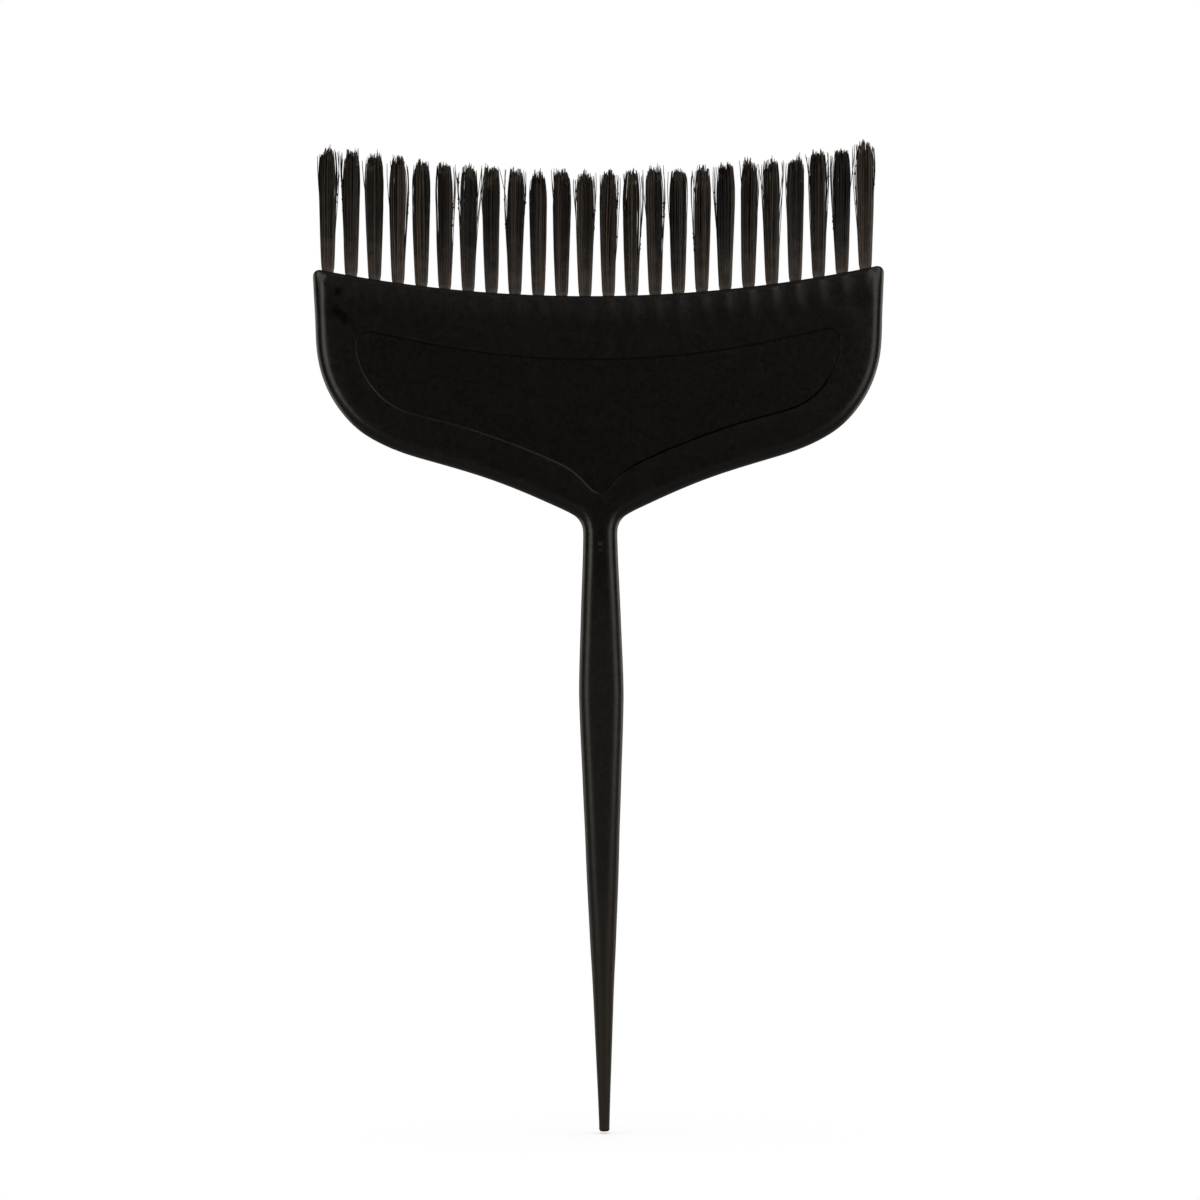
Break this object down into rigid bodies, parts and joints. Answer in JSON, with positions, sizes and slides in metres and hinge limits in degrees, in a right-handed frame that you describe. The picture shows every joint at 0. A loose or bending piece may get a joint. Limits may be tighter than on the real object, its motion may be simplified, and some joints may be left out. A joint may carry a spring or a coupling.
{
  "type": "tint brush",
  "caption": "Extra-wide hair tint brush: flat moulded head and tapered tail handle in one piece, with a single row of flexible black bristle tufts along a concave edge.",
  "frame": {"origin": "centre of the flat end of the tail, the lowest point of the brush when it is held with its bristles up", "axes": "+Z from the tail to the bristle tips, X along the row of tufts, Y through the thickness with the front face of the head at -Y"},
  "size_m": [0.1256, 0.0055, 0.2166],
  "materials": {
    "handle": "satin black moulded plastic with a fine texture",
    "bristle": "black nylon filament, slightly translucent",
    "anchor": "plain drawn flat wire"
  },
  "bodies": {
    "handle_body": {"handle": "handle", "anchor_wires": "anchor", "tuft_roots": "bristle"},
    "tuft_01_body": {"tuft_01": "bristle"},
    "tuft_02_body": {"tuft_02": "bristle"},
    "tuft_03_body": {"tuft_03": "bristle"},
    "tuft_04_body": {"tuft_04": "bristle"},
    "tuft_05_body": {"tuft_05": "bristle"},
    "tuft_06_body": {"tuft_06": "bristle"},
    "tuft_07_body": {"tuft_07": "bristle"},
    "tuft_08_body": {"tuft_08": "bristle"},
    "tuft_09_body": {"tuft_09": "bristle"},
    "tuft_10_body": {"tuft_10": "bristle"},
    "tuft_11_body": {"tuft_11": "bristle"},
    "tuft_12_body": {"tuft_12": "bristle"},
    "tuft_13_body": {"tuft_13": "bristle"},
    "tuft_14_body": {"tuft_14": "bristle"},
    "tuft_15_body": {"tuft_15": "bristle"},
    "tuft_16_body": {"tuft_16": "bristle"},
    "tuft_17_body": {"tuft_17": "bristle"},
    "tuft_18_body": {"tuft_18": "bristle"},
    "tuft_19_body": {"tuft_19": "bristle"},
    "tuft_20_body": {"tuft_20": "bristle"},
    "tuft_21_body": {"tuft_21": "bristle"},
    "tuft_22_body": {"tuft_22": "bristle"},
    "tuft_23_body": {"tuft_23": "bristle"},
    "tuft_24_body": {"tuft_24": "bristle"}
  },
  "joints": [
    {"name": "tuft_01_flex", "type": "hinge", "parent": "handle_body", "child": "tuft_01_body", "pos_m": [-0.05951, 0, 0.191], "axis": [1, 0, 0], "range_deg": [-40, 40], "stiffness_Nm_per_rad": 0.0038},
    {"name": "tuft_02_flex", "type": "hinge", "parent": "handle_body", "child": "tuft_02_body", "pos_m": [-0.05437, 0, 0.19002], "axis": [1, 0, 0], "range_deg": [-40, 40], "stiffness_Nm_per_rad": 0.0038},
    {"name": "tuft_03_flex", "type": "hinge", "parent": "handle_body", "child": "tuft_03_body", "pos_m": [-0.04923, 0, 0.18914], "axis": [1, 0, 0], "range_deg": [-40, 40], "stiffness_Nm_per_rad": 0.0038},
    {"name": "tuft_04_flex", "type": "hinge", "parent": "handle_body", "child": "tuft_04_body", "pos_m": [-0.04409, 0, 0.18835], "axis": [1, 0, 0], "range_deg": [-40, 40], "stiffness_Nm_per_rad": 0.0038},
    {"name": "tuft_05_flex", "type": "hinge", "parent": "handle_body", "child": "tuft_05_body", "pos_m": [-0.03895, 0, 0.18764], "axis": [1, 0, 0], "range_deg": [-40, 40], "stiffness_Nm_per_rad": 0.0038},
    {"name": "tuft_06_flex", "type": "hinge", "parent": "handle_body", "child": "tuft_06_body", "pos_m": [-0.03381, 0, 0.18703], "axis": [1, 0, 0], "range_deg": [-40, 40], "stiffness_Nm_per_rad": 0.0038},
    {"name": "tuft_07_flex", "type": "hinge", "parent": "handle_body", "child": "tuft_07_body", "pos_m": [-0.02867, 0, 0.1865], "axis": [1, 0, 0], "range_deg": [-40, 40], "stiffness_Nm_per_rad": 0.0038},
    {"name": "tuft_08_flex", "type": "hinge", "parent": "handle_body", "child": "tuft_08_body", "pos_m": [-0.02353, 0, 0.18606], "axis": [1, 0, 0], "range_deg": [-40, 40], "stiffness_Nm_per_rad": 0.0038},
    {"name": "tuft_09_flex", "type": "hinge", "parent": "handle_body", "child": "tuft_09_body", "pos_m": [-0.01839, 0, 0.1857], "axis": [1, 0, 0], "range_deg": [-40, 40], "stiffness_Nm_per_rad": 0.0038},
    {"name": "tuft_10_flex", "type": "hinge", "parent": "handle_body", "child": "tuft_10_body", "pos_m": [-0.01325, 0, 0.18544], "axis": [1, 0, 0], "range_deg": [-40, 40], "stiffness_Nm_per_rad": 0.0038},
    {"name": "tuft_11_flex", "type": "hinge", "parent": "handle_body", "child": "tuft_11_body", "pos_m": [-0.00811, 0, 0.18526], "axis": [1, 0, 0], "range_deg": [-40, 40], "stiffness_Nm_per_rad": 0.0038},
    {"name": "tuft_12_flex", "type": "hinge", "parent": "handle_body", "child": "tuft_12_body", "pos_m": [-0.00297, 0, 0.18516], "axis": [1, 0, 0], "range_deg": [-40, 40], "stiffness_Nm_per_rad": 0.0038},
    {"name": "tuft_13_flex", "type": "hinge", "parent": "handle_body", "child": "tuft_13_body", "pos_m": [0.00217, 0, 0.18516], "axis": [1, 0, 0], "range_deg": [-40, 40], "stiffness_Nm_per_rad": 0.0038},
    {"name": "tuft_14_flex", "type": "hinge", "parent": "handle_body", "child": "tuft_14_body", "pos_m": [0.00731, 0, 0.18524], "axis": [1, 0, 0], "range_deg": [-40, 40], "stiffness_Nm_per_rad": 0.0038},
    {"name": "tuft_15_flex", "type": "hinge", "parent": "handle_body", "child": "tuft_15_body", "pos_m": [0.01245, 0, 0.1854], "axis": [1, 0, 0], "range_deg": [-40, 40], "stiffness_Nm_per_rad": 0.0038},
    {"name": "tuft_16_flex", "type": "hinge", "parent": "handle_body", "child": "tuft_16_body", "pos_m": [0.01759, 0, 0.18566], "axis": [1, 0, 0], "range_deg": [-40, 40], "stiffness_Nm_per_rad": 0.0038},
    {"name": "tuft_17_flex", "type": "hinge", "parent": "handle_body", "child": "tuft_17_body", "pos_m": [0.02273, 0, 0.186], "axis": [1, 0, 0], "range_deg": [-40, 40], "stiffness_Nm_per_rad": 0.0038},
    {"name": "tuft_18_flex", "type": "hinge", "parent": "handle_body", "child": "tuft_18_body", "pos_m": [0.02787, 0, 0.18642], "axis": [1, 0, 0], "range_deg": [-40, 40], "stiffness_Nm_per_rad": 0.0038},
    {"name": "tuft_19_flex", "type": "hinge", "parent": "handle_body", "child": "tuft_19_body", "pos_m": [0.03301, 0, 0.18694], "axis": [1, 0, 0], "range_deg": [-40, 40], "stiffness_Nm_per_rad": 0.0038},
    {"name": "tuft_20_flex", "type": "hinge", "parent": "handle_body", "child": "tuft_20_body", "pos_m": [0.03815, 0, 0.18754], "axis": [1, 0, 0], "range_deg": [-40, 40], "stiffness_Nm_per_rad": 0.0038},
    {"name": "tuft_21_flex", "type": "hinge", "parent": "handle_body", "child": "tuft_21_body", "pos_m": [0.04329, 0, 0.18823], "axis": [1, 0, 0], "range_deg": [-40, 40], "stiffness_Nm_per_rad": 0.0038},
    {"name": "tuft_22_flex", "type": "hinge", "parent": "handle_body", "child": "tuft_22_body", "pos_m": [0.04843, 0, 0.18901], "axis": [1, 0, 0], "range_deg": [-40, 40], "stiffness_Nm_per_rad": 0.0038},
    {"name": "tuft_23_flex", "type": "hinge", "parent": "handle_body", "child": "tuft_23_body", "pos_m": [0.05357, 0, 0.18988], "axis": [1, 0, 0], "range_deg": [-40, 40], "stiffness_Nm_per_rad": 0.0038},
    {"name": "tuft_24_flex", "type": "hinge", "parent": "handle_body", "child": "tuft_24_body", "pos_m": [0.05871, 0, 0.19084], "axis": [1, 0, 0], "range_deg": [-40, 40], "stiffness_Nm_per_rad": 0.0038}
  ]
}
